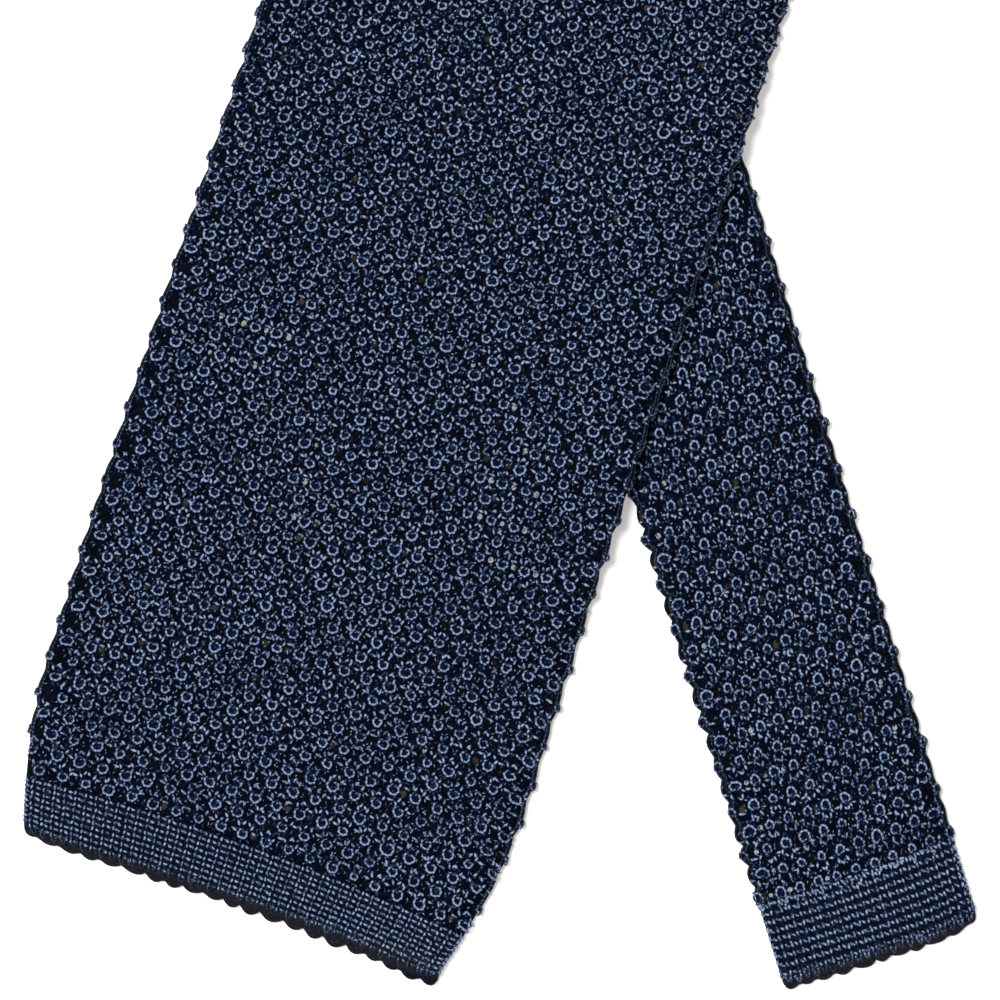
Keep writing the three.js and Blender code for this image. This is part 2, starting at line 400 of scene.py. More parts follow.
def ramp(tree, value, stops):
    """A colour ramp on a value, through stops of (place, red, green, blue)."""
    node = place(tree, "ShaderNodeValToRGB", {0: value})
    elements = node.color_ramp.elements
    while len(elements) < len(stops):
        elements.new(0.5)
    for element, (position, *colour) in zip(elements, stops):
        element.position = position
        element.color = (*colour, 1)
    return node.outputs["Color"]


def group(name, inputs, outputs):
    """An empty shader node group with float inputs and named outputs, and its two end nodes."""
    tree = bpy.data.node_groups.new(name, "ShaderNodeTree")
    for label in inputs:
        tree.interface.new_socket(label, in_out="INPUT", socket_type="NodeSocketFloat")
    for label, kind in outputs.items():
        tree.interface.new_socket(label, in_out="OUTPUT", socket_type=kind)
    return tree, tree.nodes.new("NodeGroupInput"), tree.nodes.new("NodeGroupOutput")


def new_material(name, roughness, specular, sheen):
    """A material with a Principled shader whose constant values are set on it."""
    material = bpy.data.materials.new(name)
    material.use_nodes = True
    shader = material.node_tree.nodes["Principled BSDF"]
    shader.inputs["Roughness"].default_value = roughness
    shader.inputs["Specular IOR Level"].default_value = specular
    shader.inputs["Sheen Weight"].default_value = sheen
    shader.inputs["Sheen Roughness"].default_value = 0.4
    shader.inputs["Sheen Tint"].default_value = (0.45, 0.6, 1.0, 1)
    return material, material.node_tree, shader


# Where a place is among the bobbles, from column and row counts: how near it is to the ring of the nearest
# bobble, to its middle, to its pit and to the crown of short stitches above it, and the pit's own chance
lattice, lattice_in, lattice_out = group(
    "bobble_lattice",
    ["Column", "Row"],
    {label: "NodeSocketFloat" for label in ("Ring", "Middle", "Pit", "Crown", "Chance")},
)
row_number = sums(lattice, "ROUND", lattice_in.outputs["Row"])
row_off = sums(lattice, "MULTIPLY", sums(lattice, "SUBTRACT", lattice_in.outputs["Row"], row_number), ROW[0])
even = sums(lattice, "SUBTRACT", 1.0, sums(lattice, "FLOORED_MODULO", row_number, 2.0))
shifted = sums(lattice, "MULTIPLY_ADD", even, 0.5, sums(lattice, "ADD", lattice_in.outputs["Column"], 0.5))
column_off = sums(lattice, "SUBTRACT", sums(lattice, "FRACT", shifted), 0.5)
column_off = sums(lattice, "MULTIPLY", column_off, COLUMN[0])
from_middle = hypot(lattice, column_off, row_off)
ring_gap = sums(lattice, "ABSOLUTE", sums(lattice, "SUBTRACT", from_middle, 0.62))
lattice.links.new(eased(lattice, ring_gap, 0.08, 0.3, 1.0, 0.0), lattice_out.inputs["Ring"])
lattice.links.new(eased(lattice, from_middle, 0.35, 0.7, 1.0, 0.0), lattice_out.inputs["Middle"])
pit_number = place(lattice, "ShaderNodeCombineXYZ", {"X": sums(lattice, "ROUND", shifted), "Y": row_number})
chance = place(lattice, "ShaderNodeTexWhiteNoise", {"Vector": pit_number.outputs[0]}, noise_dimensions="2D")
lattice.links.new(chance.outputs["Value"], lattice_out.inputs["Chance"])
pit_aside = sums(lattice, "SUBTRACT", sums(lattice, "ABSOLUTE", column_off), COLUMN[0] / 2)
pit_far = hypot(lattice, pit_aside, row_off)
lattice.links.new(eased(lattice, pit_far, 0.2, 0.55, 1.0, 0.0), lattice_out.inputs["Pit"])
crown_gap = sums(lattice, "ABSOLUTE", sums(lattice, "SUBTRACT", sums(lattice, "ABSOLUTE", row_off), 1.1))
crown_side = eased(lattice, sums(lattice, "ABSOLUTE", column_off), 0.7, 1.2, 1.0, 0.0)
crown = sums(lattice, "MULTIPLY", eased(lattice, crown_gap, 0.05, 0.35, 1.0, 0.0), crown_side)
lattice.links.new(crown, lattice_out.inputs["Crown"])

ground_knit, ground_tree, ground_shader = new_material("ground_knit", 0.9, 0.05, 0.0)
uv_map = place(ground_tree, "ShaderNodeUVMap", uv_map="UVMap")
counts = place(ground_tree, "ShaderNodeSeparateXYZ", {0: uv_map.outputs[0]})
pattern = place(ground_tree, "ShaderNodeGroup", node_tree=lattice)
ground_tree.links.new(counts.outputs["X"], pattern.inputs["Column"])
ground_tree.links.new(counts.outputs["Y"], pattern.inputs["Row"])
object_place = place(ground_tree, "ShaderNodeTexCoord").outputs["Object"]
fibres = place(ground_tree, "ShaderNodeTexNoise", {"Vector": object_place, "Scale": 2600.0, "Detail": 3.0})
loops = place(ground_tree, "ShaderNodeTexVoronoi", {"Vector": object_place, "Scale": 1900.0})
loop_light = eased(ground_tree, loops.outputs["Distance"], 0.1, 0.55, 1.0, 0.0)
raised = sums(ground_tree, "MAXIMUM", pattern.outputs["Ring"], pattern.outputs["Crown"])
raised_light = sums(ground_tree, "MULTIPLY_ADD", raised, 0.6, 0.3)
lit = sums(ground_tree, "MULTIPLY", loop_light, raised_light, clamp=True)
ground_colour = ramp(
    ground_tree,
    lit,
    [
        (0.0, 0.0004, 0.0014, 0.006),
        (0.3, 0.0026, 0.007, 0.022),
        (0.7, 0.017, 0.034, 0.075),
        (1.0, 0.05, 0.08, 0.145),
    ],
)
middle_colour = ramp(
    ground_tree,
    loop_light,
    [(0.0, 0.0008, 0.004, 0.018), (0.6, 0.002, 0.011, 0.042), (1.0, 0.014, 0.036, 0.095)],
)
ground_colour = mixed(ground_tree, pattern.outputs["Middle"], ground_colour, middle_colour)
near_wide_end = eased(ground_tree, counts.outputs["Y"], NEAR_LAST - 0.5, NEAR_LAST + 1.5, 1.0, 0.0)
near_narrow_end = eased(ground_tree, counts.outputs["Y"], NEAR_NARROW_FIRST - 1.5, NEAR_NARROW_FIRST + 0.5)
near_ends = sums(ground_tree, "MAXIMUM", near_wide_end, near_narrow_end)
plainer_colour = mixed(ground_tree, 1.0, ground_colour, (3.2, 2.9, 2.6, 1), "MULTIPLY")
ground_colour = mixed(ground_tree, near_ends, plainer_colour, ground_colour)
# painted shade and light: the pits between the bobbles are painted near black as shade, and a few of them
# brownish, as if the table's light shone through
pit_shade_and_glow = ramp(
    ground_tree,
    pattern.outputs["Chance"],
    [
        (0.0, 0.0006, 0.0006, 0.0008),
        (0.6, 0.003, 0.0026, 0.002),
        (0.9, 0.005, 0.004, 0.003),
        (1.0, 0.05, 0.035, 0.022),
    ],
)
ground_colour = mixed(ground_tree, pattern.outputs["Pit"], ground_colour, pit_shade_and_glow)
ground_tree.links.new(ground_colour, ground_shader.inputs["Base Color"])
relief = sums(ground_tree, "ADD", lit, sums(ground_tree, "MULTIPLY", fibres.outputs["Fac"], 0.4))
relief = sums(ground_tree, "SUBTRACT", relief, pattern.outputs["Pit"])
bump = place(ground_tree, "ShaderNodeBump", {"Height": relief, "Distance": 0.0003, "Strength": 0.7})
ground_tree.links.new(bump.outputs[0], ground_shader.inputs["Normal"])
ground.data.materials.append(ground_knit)


# The raised stitches. On the ground stand rows of bobbles: each is one loop of silk yarn curled into a ring,
# with a crown of five short slanted stitches above it. They are of the same yarn as the ground, and catch the
# light on their crests, which is also painted into their colour as a painted highlight. They go round the
# folded sides, which gives the tie its scalloped outline.
YARN = 0.19
RING = 0.65
CROWN = [
    (-0.81, 0.99, 120, 0.66),
    (-0.21, 1.33, 62, 0.66),
    (0.29, 1.31, 140, 0.60),
    (0.78, 0.94, 75, 0.72),
    (1.57, 0.59, -8, 0.85),
]
FILLING = [
    (-1.25, 0.35, 70, 0.42),
    (1.15, 0.05, 110, 0.42),
    (1.5, -0.4, 50, 0.4),
    (-0.65, -0.98, 20, 0.42),
    (0.05, -1.15, 85, 0.36),
    (0.75, -0.92, -30, 0.42),
]
random = np.random.default_rng(12)


def strands(path, radius, sides, shade, swell=None):
    """Tubes of yarn, all of one template: path is strands by points by (across, along, height), radius is the
    yarn's at each point. A ring of points stands round each path point, square to it, the first one upwards.
    Under the tie its weight presses the yarn flat on the table. Returns points, faces, UV of length and turn,
    how far up the yarn each point is as painted light (a painted highlight on the yarn's top, painted shade
    down its sides and where it lies low in the cloth), and each strand's shade."""
    on = on_tube(path[..., 1], path[..., 0], path[..., 2])
    above = on_tube(path[..., 1], path[..., 0], path[..., 2] + 0.1)
    up = above - on
    ahead = np.gradient(on, axis=1)
    aside = np.cross(ahead, up)
    aside /= np.linalg.norm(aside, axis=-1, keepdims=True) + 1e-9
    up = np.cross(aside, ahead)
    up /= np.linalg.norm(up, axis=-1, keepdims=True) + 1e-9
    angle = 2 * math.pi * np.arange(sides) / sides
    radius = np.broadcast_to(radius, path.shape[:2])[..., None, None]
    turn = np.cos(angle)[:, None] * up[..., None, :] + np.sin(angle)[:, None] * aside[..., None, :]
    points = on[..., None, :] + radius * turn
    points[..., 2] = np.maximum(points[..., 2], 0.01)
    many, steps = path.shape[:2]
    first = (np.arange(many) * steps * sides)[:, None, None]
    step, side = np.meshgrid(np.arange(steps - 1), np.arange(sides), indexing="ij")
    a = step * sides + side
    b = step * sides + (side + 1) % sides
    quads = np.stack([a, a + sides, b + sides, b], axis=-1).reshape(1, -1, 4) + first
    start = np.arange(sides)[None, :] + first[..., 0]
    end = start[:, ::-1] + (steps - 1) * sides
    length = np.cumsum(np.linalg.norm(np.diff(on, axis=1, prepend=on[:, :1]), axis=-1), axis=1)
    length = length + 7.3 * np.arange(many)[:, None] % 5
    uv = np.stack(
        np.broadcast_arrays(length[..., None], (np.arange(sides) / sides)[None, None, :]), axis=-1
    ).reshape(-1, 2)
    # painted highlight and shade: the yarn's top and the yarn that stands high are drawn lighter, its sides,
    # underside and the yarn low in the cloth darker
    top_highlight = (0.5 + 0.5 * np.cos(angle))[None, None, :] ** 1.6
    height_shading = np.clip(0.35 + 1.6 * path[..., 2], 0, 1)[..., None]
    painted_crest_light = (top_highlight * height_shading).reshape(-1)
    shades = np.broadcast_to(np.asarray(shade)[:, None, None], points.shape[:3]).reshape(-1)
    return points.reshape(-1, 3), [quads.reshape(-1, 4), start, end], uv, painted_crest_light, shades


def joined_strands(name, parts):
    """One piece from several sets of strands."""
    offset = 0
    faces = []
    for points, part_faces, *_ in parts:
        faces += [face + offset for face in part_faces]
        offset += len(points)
    return mesh_piece(
        name,
        np.concatenate([part[0] for part in parts]),
        faces,
        np.concatenate([part[2] for part in parts]),
        {
            "painted_crest_light": np.concatenate([part[3] for part in parts]),
            "shade": np.concatenate([part[4] for part in parts]),
        },
    )


def bobbles_between(first, last):
    """Row, distance across and shade of every bobble on rows first to last, as far as the middle of the
    folded sides. They are darker where they turn away from the light."""
    rows, places = [], []
    for row in range(first, last + 1):
        along = float(np.interp(row, row_count, fine))
        _, _, flat, around = section(along)
        reach = flat + (0.5 if along < nape else 0.4) * around
        columns = np.arange(-24, 25)
        across = bobble_across(row, columns)
        across = across[np.abs(across) < reach]
        rows.append(np.full(len(across), row))
        places.append(across)
    rows = np.concatenate(rows)
    places = np.concatenate(places)
    _, _, flat, around = section(np.interp(rows, row_count, fine))
    turned_away = smoothstep(np.abs(places), flat + 0.1 * around, flat + 0.4 * around)
    return rows, places, random.normal(0, 1, len(rows)) - 4 * turned_away


def template_path(rows, places, x, y, height, jitter=0.05):
    """A template's points at every bobble, stretched with the knit's steps, turned and shifted a little."""
    along = np.interp(rows, row_count, fine)
    narrow = smoothstep(along, *TAPER)
    wide_by = (1 - 0.13 * narrow)[:, None]
    long_by = (1 + 0.15 * narrow)[:, None]
    turn = random.normal(0, 0.13, len(rows))[:, None]
    size = random.normal(1, 0.1, len(rows))[:, None]
    shift_x = random.normal(0, jitter, len(rows))[:, None]
    shift_y = random.normal(0, jitter, len(rows))[:, None]
    across = places[:, None] + wide_by * size * (x * np.cos(turn) - y * np.sin(turn)) + shift_x
    share = np.clip(across / half_width(along)[:, None], -1, 1)
    distance = row_place(rows[:, None], share) + shift_y
    distance = distance + long_by * size * (x * np.sin(turn) + y * np.cos(turn))
    tall = random.normal(1, 0.15, len(rows))[:, None]
    return np.stack([across, distance, np.broadcast_to(height * tall, across.shape)], axis=-1)


def ring_template(steps):
    """The curled loop: a turn of a circle from its upper left round by the bottom, whose last stretch winds
    inwards. It comes up out of the cloth, and its end tucks in."""
    t = np.linspace(0, 1, steps)
    angle = math.radians(112) + math.radians(365) * t
    radius = RING * (1 - 0.6 * smoothstep(t, 0.72, 1.0))
    height = -0.1 + 0.5 * np.sin(math.pi * np.clip(0.04 + t * 1.05, 0, 1)) ** 0.5
    return radius * np.cos(angle), radius * np.sin(angle), np.maximum(height, 0)


def dash_template(x, y, direction, length, steps, rise=0.32):
    """A short stitch: a straight run whose ends dive into the cloth as a parabola."""
    t = np.linspace(-1, 1, steps)
    angle = math.radians(direction)
    run = 0.5 * length * t
    return x + run * math.cos(angle), y + run * math.sin(angle), rise * (1 - 0.8 * t**2)


def close_bobbles(first, last):
    """Rings, crowns and low filling stitches of the rows from first to last, each stitch on its own, as lists
    of strands. No crown stands out of the folded sides."""
    rows, places, shade = bobbles_between(first, last)
    x, y, height = ring_template(10)
    wobble = random.normal(0, 0.06, (2, len(rows), 10))
    taper = np.concatenate([[0.6], np.ones(8), [0.7]])
    path = template_path(rows, places, x, y, height)
    path[..., :2] += np.moveaxis(wobble, 0, -1)
    rings = [strands(path, YARN * taper, 4, shade)]
    along = np.interp(rows, row_count, fine)
    _, _, flat, around = section(along)
    inner = np.abs(places) < flat + 0.3 * around
    rows, places, shade = rows[inner], places[inner], shade[inner]
    crowns, filling = [], []
    for dash in CROWN:
        x, y, height = dash_template(*dash, 4)
        path = template_path(rows, places, x, y, height)
        # painted highlight: the crowns are drawn lighter than the rings, with a tone that differs at random
        brightness = shade + random.normal(1.6, 1.6, len(rows))
        crowns.append(strands(path, YARN * np.array([0.6, 1.0, 1.0, 0.6]), 4, brightness))
    for dash in FILLING:
        x, y, height = dash_template(*dash, 3, rise=0.16)
        path = template_path(rows, places, x, y, height, jitter=0.12)
        brightness = random.normal(0.8, 2.0, len(rows))
        filling.append(strands(path, YARN * np.array([0.5, 0.85, 0.5]), 3, brightness))
    return rings, crowns, filling


def far_bobbles(first, last):
    """The same with fewer faces, each crown one zigzag strand, for the stretches round the neck. The yarn is
    drawn thicker and lighter there, which makes up for the filling stitches that are left out."""
    rows, places, shade = bobbles_between(first, last)
    x, y, height = ring_template(5)
    rings = strands(template_path(rows, places, x, y, height), YARN * 1.3, 3, shade + 2.5)
    x = np.array([-1.0, -0.4, 0.5, 1.6])
    y = np.array([0.7, 1.3, 1.2, 0.6])
    height = np.array([0.05, 0.3, 0.3, 0.1])
    crowns = strands(template_path(rows, places, x, y, height), YARN * 1.4, 3, shade + 3.5)
    return [rings, crowns]


def side_loops(first, last, every, strands_round, bulge, steps):
    """The loops that turn round the folded sides. Each bulges out as an arch between one row and the next
    that has its bobble at the fold, so that the tie's outline is scalloped. bulge is (left, right)."""
    rows = np.arange(first, last + 1 - every, every) + 0.0
    parts = []
    t = np.linspace(-1, 1, steps)
    for side, out in zip((-1, 1), bulge):
        for turn in strands_round:
            middle = (rows + 0.5 * every)[:, None] + 0.5 * every * 1.02 * t + (every == 2)
            along = row_place(middle, side * np.ones_like(middle))
            _, _, flat, around = section(along)
            across = side * (flat + around * turn / 180)
            tall = out * random.normal(1, 0.2, len(rows))[:, None] * np.sin(math.radians(turn))
            height = tall * np.sqrt(np.clip(1 - t**2, 0, 1))
            path = np.stack([across, along, height], axis=-1)
            # painted shade: the loops round the folded sides are drawn dark, as turned away from the light,
            # with a tone that differs at random
            parts.append(strands(path, 0.17, 4, random.normal(-3.5, 1.5, len(rows))))
    return parts


wide_rings, wide_crowns, wide_filling = close_bobbles(0, NEAR_LAST)
narrow_rings, narrow_crowns, narrow_filling = close_bobbles(NEAR_NARROW_FIRST, ROWS)
neck_start = int(join_row)
NECK_ROWS = 128
stitches = [
    joined_strands("wide_blade_bobbles", [*wide_rings, *wide_filling]),
    joined_strands("wide_blade_crowns", wide_crowns),
    joined_strands("wide_blade_upper_stitches", far_bobbles(NEAR_LAST + 1, neck_start)),
    joined_strands("neck_stitches", far_bobbles(neck_start + 1, neck_start + NECK_ROWS)),
    joined_strands(
        "narrow_blade_upper_stitches",
        far_bobbles(neck_start + NECK_ROWS + 1, NEAR_NARROW_FIRST - 1),
    ),
    joined_strands("narrow_blade_stitches", [*narrow_rings, *narrow_crowns, *narrow_filling]),
    joined_strands("wide_blade_side_loops", side_loops(0, NEAR_LAST, 2, (62, 92), (0.0, 0.0), 8)),
    joined_strands(
        "narrow_blade_side_loops",
        side_loops(NEAR_NARROW_FIRST - 0.5, ROWS + 0.5, 1, (50, 85), (-0.14, -0.14), 7),
    ),
    joined_strands("neck_side_loops", side_loops(NEAR_LAST, NEAR_NARROW_FIRST, 2, (75,), (0.35, 0.35), 5)),
]

# Silk yarn, as a colour and a relief from the yarn's length, turn, painted light and shade: two plies twisted
# round each other, with a ply every TWIST, each ply painted lighter on its crest and darker between, a
# painted highlight on the yarn's crest and painted shade where the yarn turns down into the cloth
TWIST = 0.55
yarn, yarn_in, yarn_out = group(
    "silk_yarn",
    ["Length", "Turn", "Painted Crest Light", "Shade", "Fuzz"],
    {"Color": "NodeSocketColor", "Height": "NodeSocketFloat"},
)
twist = sums(yarn, "MULTIPLY_ADD", yarn_in.outputs["Length"], 1 / TWIST, yarn_in.outputs["Turn"])
twist = sums(yarn, "MULTIPLY_ADD", sums(yarn, "SINE", sums(yarn, "MULTIPLY", twist, 2 * math.pi)), 0.5, 0.5)
# painted light and shade: the crest light, the shade mark and the ply twist lighten and darken the silk's
# colour
light = sums(yarn, "MULTIPLY_ADD", yarn_in.outputs["Shade"], 0.07, yarn_in.outputs["Painted Crest Light"])
light = sums(yarn, "MULTIPLY_ADD", sums(yarn, "SUBTRACT", twist, 0.5), 0.6, light)
uneven_fuzz = sums(yarn, "SUBTRACT", yarn_in.outputs["Fuzz"], 0.5)
light = sums(yarn, "MULTIPLY_ADD", uneven_fuzz, 1.2, light, clamp=True)
silk = ramp(
    yarn,
    light,
    [
        (0.0, 0.001, 0.0035, 0.012),
        (0.2, 0.009, 0.022, 0.056),
        (0.43, 0.05, 0.083, 0.165),
        (0.7, 0.15, 0.21, 0.35),
        (1.0, 0.29, 0.36, 0.54),
    ],
)
yarn.links.new(silk, yarn_out.inputs["Color"])
yarn.links.new(sums(yarn, "ADD", twist, yarn_in.outputs["Fuzz"]), yarn_out.inputs["Height"])


def yarn_material(name, gain, roughness=0.6, specular=0.25, sheen=0.05):
    """The yarn's finish on a piece with the marks for the crest's painted light and for the shade; gain
    lightens or darkens its colours.
    """
    material, tree, shader = new_material(name, roughness, specular, sheen)
    uv_map = place(tree, "ShaderNodeUVMap", uv_map="UVMap").outputs[0]
    length_turn = place(tree, "ShaderNodeSeparateXYZ", {0: uv_map})
    painted_crest_light = place(tree, "ShaderNodeAttribute", attribute_name="painted_crest_light").outputs["Fac"]
    shade = place(tree, "ShaderNodeAttribute", attribute_name="shade").outputs["Fac"]
    coordinates = place(tree, "ShaderNodeTexCoord").outputs["Object"]
    fuzz = place(tree, "ShaderNodeTexNoise", {"Vector": coordinates, "Scale": 3500.0, "Detail": 2.0})
    yarn_node = place(tree, "ShaderNodeGroup", node_tree=yarn)
    for label, socket in (
        ("Length", length_turn.outputs["X"]),
        ("Turn", length_turn.outputs["Y"]),
        ("Painted Crest Light", painted_crest_light),
        ("Shade", shade),
        ("Fuzz", fuzz.outputs["Fac"]),
    ):
        tree.links.new(socket, yarn_node.inputs[label])
    colour = mixed(tree, 1.0, yarn_node.outputs["Color"], (gain, gain, gain, 1), "MULTIPLY")
    tree.links.new(colour, shader.inputs["Base Color"])
    ply_relief = {"Height": yarn_node.outputs["Height"], "Distance": 0.00008, "Strength": 0.6}
    ply = place(tree, "ShaderNodeBump", ply_relief)
    tree.links.new(ply.outputs[0], shader.inputs["Normal"])
    return material


bobble_yarn = yarn_material("bobble_yarn", 1.0)
for piece in stitches:
    piece.data.materials.append(bobble_yarn)


# The end bands. Each end is closed by a band of fine plain knit, worked on from the same stitches and drawn
# in a little. Its closed edge rolls over, and the under layer hangs out of it in small dark scallops.
EDGE_ROLL = 1.3
CORNER_ROUND = 1.2


def wide_edge(share):
    """The wide end's closed edge: longer to the right corner as a fourth power, both corners cut back."""
    return 0.55 - 2.9 * ((share + 1) / 2) ** 4 + CORNER_ROUND * np.abs(share) ** 20


def narrow_edge(share):
    """The narrow end's closed edge, cut back towards share -1 as a square, and with both corners cut back."""
    cut = 1.4 * np.clip((-share - 0.4) / 0.6, 0, 1) ** 2
    return TIE_LENGTH - 0.1 - cut - CORNER_ROUND * np.abs(share) ** 20


def scallops(band, share):
    """How far the under layer hangs out: a row of arches, each half a sine wave, lower towards share -1."""
    uneven = 0.35 * np.sin(7.3 * share + 1) + 0.2 * np.sin(19 * share)
    depth = 0.9 + 0.3 * np.sin(5.1 * share + 2) * np.sin(11 * share)
    depth = depth * (0.55 + 0.45 * smoothstep(share, -0.8, -0.2))
    arch = np.abs(np.sin(band["scallops"] * math.pi * (share + 1) / 2 + uneven)) ** 0.8
    return 1.25 * band["hang"] * depth * arch


def band_cup(name, node, band, edge_at, inwards):
    """A cup of cloth from the closed edge to just inside the tube's mouth. Its rows start at the edge, where
    the thickness grows from nothing as a quarter circle over the roll, and the scallops fade over it too."""
    steps = band["scallops"] * 6
    share = np.linspace(-1, 1, steps + 1)
    top = band_depth(band, share) if inwards > 0 else TIE_LENGTH - band_depth(band, share)
    top = top + inwards * 0.4
    rolls = EDGE_ROLL * np.array([0, 0.06, 0.2, 0.45, 0.7, 1.0])
    rows = []
    for from_edge in rolls:
        fade = np.clip(1 - from_edge / EDGE_ROLL, 0, 1)
        rows.append(edge_at(share) + inwards * (from_edge - fade * scallops(band, share)))
    start = rows[-1]
    rows += [start + (top - start) * t for t in (0.2, 0.4, 0.6, 0.8, 1.0)]
    along = np.array(rows)
    rounded = [math.sqrt(1 - (1 - min(roll / EDGE_ROLL, 1)) ** 2) for roll in rolls]
    round_off = np.array(rounded + [1.0] * 4 + [0.93])
    half_thick, _, flat, around = section(along)
    edge = flat + around / 2
    upper = share * edge
    under = (np.where(upper < 0, -1, 1) * 2 * edge - upper)[:, ::-1][:, 1:-1]
    across = np.concatenate([upper, under], axis=1)
    ring_along = np.concatenate([along, along[:, ::-1][:, 1:-1]], axis=1)
    points = on_tube(ring_along, across)
    middle = 0.02 + section(ring_along)[0]
    sink = (0.5 + 0.5 * round_off)[:, None]
    points[..., 2] = middle * sink + (points[..., 2] - middle) * round_off[:, None]
    around_count = 2 * steps
    size = along.shape[0] * around_count
    faces = ring_faces(0, along.shape[0], around_count)
    inner_rows = slice(5, None)
    inner = on_tube(ring_along[inner_rows], across[inner_rows], -(section(ring_along[inner_rows])[0] - 0.25))
    inner[0, :, 2] = inner[0, :, 2].mean()
    inner_count = inner.shape[0]
    faces_in = ring_faces(size, inner_count, around_count, inward=True)
    ring = np.arange(around_count)
    after = (ring + 1) % around_count
    last = size - around_count
    last_in = size + (inner_count - 1) * around_count
    rim = np.stack([last + ring, last + after, last_in + after, last_in + ring], axis=-1)
    half = np.arange(steps)
    floor_of_cup = np.stack(
        [size + half, size + (around_count - half) % around_count,
         size + (around_count - half - 1) % around_count, size + half + 1], axis=-1
    )
    floor_of_cup = floor_of_cup[1:-1]
    end_caps = np.array([
        [size, size + around_count - 1, size + 1],
        [size + steps, size + steps - 1, size + steps + 1],
    ])
    everything = [faces.reshape(-1, 4), faces_in.reshape(-1, 4), rim, floor_of_cup, end_caps]
    all_points = np.concatenate([points.reshape(-1, 3), inner.reshape(-1, 3)])
    if inwards < 0:
        everything = [face[:, ::-1] for face in everything]
    # the closed edge's upper and lower points are one and the same, so the lower ones are left out
    same = np.arange(len(all_points))
    lower = np.arange(steps + 1, around_count)
    same[lower] = around_count - lower
    kept = np.ones(len(all_points), dtype=bool)
    kept[lower] = False
    number = np.cumsum(kept) - 1
    everything = [number[same[face]] for face in everything]
    uv = np.stack([across / 1.4, np.abs(ring_along - (0 if inwards > 0 else TIE_LENGTH)) / 0.8], axis=-1)
    uv = np.concatenate([uv.reshape(-1, 2), uv[inner_rows].reshape(-1, 2)])
    cup = mesh_piece(name, all_points[kept], everything, uv[kept])
    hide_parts(node)
    return cup


wide_cup = band_cup("wide_end_band_cloth", "wide_end_band", WIDE_BAND, wide_edge, 1)
narrow_cup = band_cup("narrow_end_band_cloth", "narrow_end_band", NARROW_BAND, narrow_edge, -1)


def band_stitches(band, edge_at, inwards, columns, rows, first, cell_length, upright, tip, hem_shade):
    """The band's small stitches: at each step across one upright stitch, and beside it one that lies across
    and tips down to the right. Rows stand evenly from a first distance from the edge to the band's top."""
    column, row, under = np.meshgrid(np.arange(columns), np.arange(rows), [0, 1], indexing="ij")
    column, row, under = column.ravel(), row.ravel(), under.ravel()
    share = -1 + 2 * (column + 0.5) / columns
    top = band_depth(band, share) if inwards > 0 else TIE_LENGTH - band_depth(band, share)
    start = edge_at(share) + inwards * first
    along = start + (top - inwards * 0.3 - start) * row / (rows - 1)
    cell_width = 2 * half_width(along) / columns
    _, _, flat, around = section(along)
    reach = flat + around / 2
    parts = []
    for x, direction, length, rise in ((-0.25, 90, upright * cell_length, 0.26), (0.25, tip, 0.72, 0.24)):
        t = np.linspace(-1, 1, 4)
        angle = math.radians(direction) + random.normal(0, 0.12, len(share))[:, None]
        across = share * reach + x * cell_width + random.normal(0, 0.05, len(share))
        across = np.clip(across, -flat - 0.33 * around, flat + 0.33 * around)
        across = np.where(under == 1, np.where(across < 0, -1, 1) * 2 * reach - across, across)
        run = 0.5 * length * random.normal(1, 0.1, len(share))[:, None] * t
        off_row = random.normal(0, 0.04, len(share))[:, None]
        path = np.stack(
            [
                across[:, None] + run * np.cos(angle),
                along[:, None] + run * np.sin(angle) + off_row,
                np.broadcast_to(rise * (1 - t**2), (len(share), 4)),
            ],
            axis=-1,
        )
        # painted shade: the first row, next to the rolled edge, is drawn darker; the rows above it are drawn
        # lighter
        edge_row_shade = np.where(row == 0, -1.5, 2.0)
        shade = random.normal(0, 1.2, len(share)) + edge_row_shade
        parts.append(strands(path, 0.2 * np.array([0.6, 1.0, 1.0, 0.6]), 4, shade))
    # the hem: at each step a loop hangs from the first row down over the rolled edge and back, as a V
    share = (-1 + 2 * (np.arange(columns) + 0.5) / columns)[:, None]
    t = np.linspace(-1, 1, 5)
    down = np.array([1.5, 0.8, 0.3, 0.8, 1.5]) * random.normal(1, 0.12, (columns, 1))
    along = edge_at(share) + inwards * down
    half_thick, _, flat, around = section(along)
    thick = np.sqrt(1 - np.clip(1 - down / EDGE_ROLL, 0, 1) ** 2)
    height = (half_thick + 0.02) * (0.5 + 0.5 * thick) + half_thick * thick - 2 * half_thick
    sideways = (0.34 * t + random.normal(0, 0.06, (columns, 1))) * 2 / columns
    across = np.clip(share + sideways, -0.97, 0.97) * (flat + around / 2)
    shade = random.normal(hem_shade, 2.0, columns)
    parts.append(strands(np.stack([across, along, height + 0.05], axis=-1), 0.19, 4, shade))
    return parts


wide_band_yarn = joined_strands(
    "wide_end_band_stitches", band_stitches(WIDE_BAND, wide_edge, 1, 44, 9, 1.2, 0.85, 0.58, -12, -4.0)
)
narrow_band_yarn = joined_strands(
    "narrow_end_band_stitches", band_stitches(NARROW_BAND, narrow_edge, -1, 24, 9, 1.75, 1.14, 0.7, -42, 0.5)
)
plain_yarn = yarn_material("plain_yarn", 1.0)
for piece in (wide_band_yarn, narrow_band_yarn):
    piece.data.materials.append(plain_yarn)

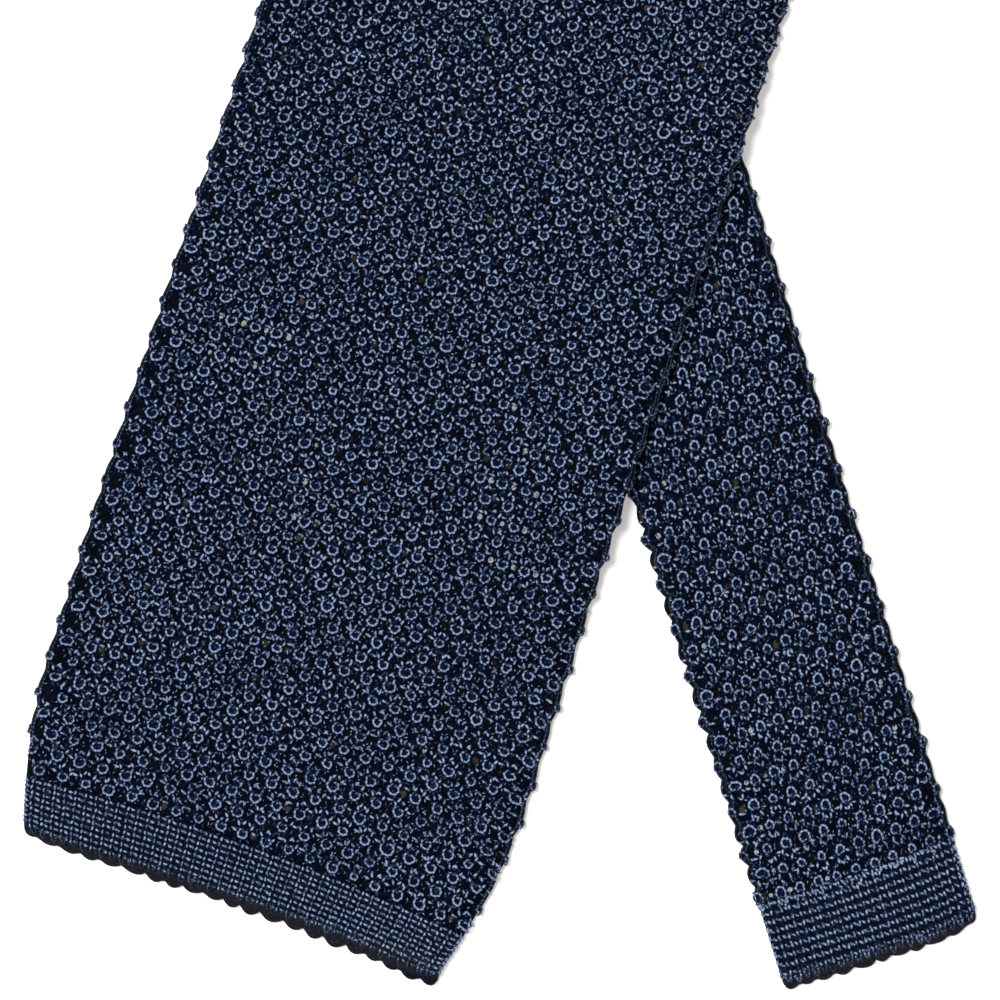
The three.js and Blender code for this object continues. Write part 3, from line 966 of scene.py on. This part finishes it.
band_cloth, band_tree, band_shader = new_material("band_cloth", 0.9, 0.05, 0.0)
object_place = place(band_tree, "ShaderNodeTexCoord").outputs["Object"]
speck_noise = place(band_tree, "ShaderNodeTexNoise", {"Vector": object_place, "Scale": 2600.0, "Detail": 3.0})
specks = speck_noise.outputs["Fac"]
band_colour = ramp(
    band_tree,
    specks,
    [(0.35, 0.0004, 0.0014, 0.006), (0.55, 0.0016, 0.0045, 0.014), (0.75, 0.012, 0.022, 0.048)],
)
band_uv = place(band_tree, "ShaderNodeUVMap", uv_map="UVMap").outputs[0]
from_edge = place(band_tree, "ShaderNodeSeparateXYZ", {0: band_uv}).outputs["Y"]
hem_colour = ramp(
    band_tree,
    specks,
    [(0.3, 0.004, 0.005, 0.008), (0.6, 0.012, 0.014, 0.019), (0.85, 0.035, 0.038, 0.045)],
)
band_colour = mixed(band_tree, eased(band_tree, from_edge, 1.2, 2.2, 1.0, 0.0), band_colour, hem_colour)
band_tree.links.new(band_colour, band_shader.inputs["Base Color"])
band_bump = place(band_tree, "ShaderNodeBump", {"Height": specks, "Distance": 0.0002, "Strength": 0.8})
band_tree.links.new(band_bump.outputs[0], band_shader.inputs["Normal"])
for piece in (wide_cup, narrow_cup):
    piece.data.materials.append(band_cloth)


# The table top that the tie lies on: a plain white sheet, with a faint glow of its own so that it stays white
# right through the open pits.
table = bpy.data.objects.new("table", bpy.data.meshes.new("table"))
table.data.from_pydata([(-2, -2, 0), (2, -2, 0), (2, 2, 0), (-2, 2, 0)], [], [(0, 1, 2, 3)])
bpy.context.scene.collection.objects.link(table)
white, _, white_shader = new_material("white_table", 0.9, 0.0, 0.0)
white_shader.inputs["Base Color"].default_value = (0.9, 0.9, 0.9, 1)
white_shader.inputs["Emission Color"].default_value = (1.0, 0.98, 0.94, 1)
white_shader.inputs["Emission Strength"].default_value = 0.35
table.data.materials.append(white)


# Light and camera: one soft lamp from the upper left, an even pale room, and a camera straight above the
# lower part of the two blades.
sun = bpy.data.objects.new("key_light", bpy.data.lights.new("key_light", "SUN"))
sun.data.energy = 3.2
sun.data.angle = math.radians(17)
sun.rotation_euler = (math.radians(17), 0, math.radians(-122))
bpy.context.scene.collection.objects.link(sun)

world = bpy.data.worlds.new("room")
world.use_nodes = True
world.node_tree.nodes["Background"].inputs["Color"].default_value = (1.0, 0.98, 0.95, 1)
world.node_tree.nodes["Background"].inputs["Strength"].default_value = 0.35
bpy.context.scene.world = world

PHOTO_SIDE = 130.0
CAMERA_HEIGHT = 1000.0
roll = math.radians(0.15)
view_x, view_y = -6.77, -79.31
camera = bpy.data.objects.new("camera", bpy.data.cameras.new("camera"))
camera.data.sensor_width = 36
camera.data.lens = 36 * CAMERA_HEIGHT / PHOTO_SIDE
camera.data.clip_end = 20
camera.location = (
    0.001 * (view_x * math.cos(roll) - view_y * math.sin(roll)),
    0.001 * (crossing_y + view_x * math.sin(roll) + view_y * math.cos(roll)),
    0.001 * (CAMERA_HEIGHT + 2),
)
camera.rotation_euler = (0, 0, roll)
bpy.context.scene.collection.objects.link(camera)
bpy.context.scene.camera = camera
bpy.context.scene.view_settings.view_transform = "Standard"
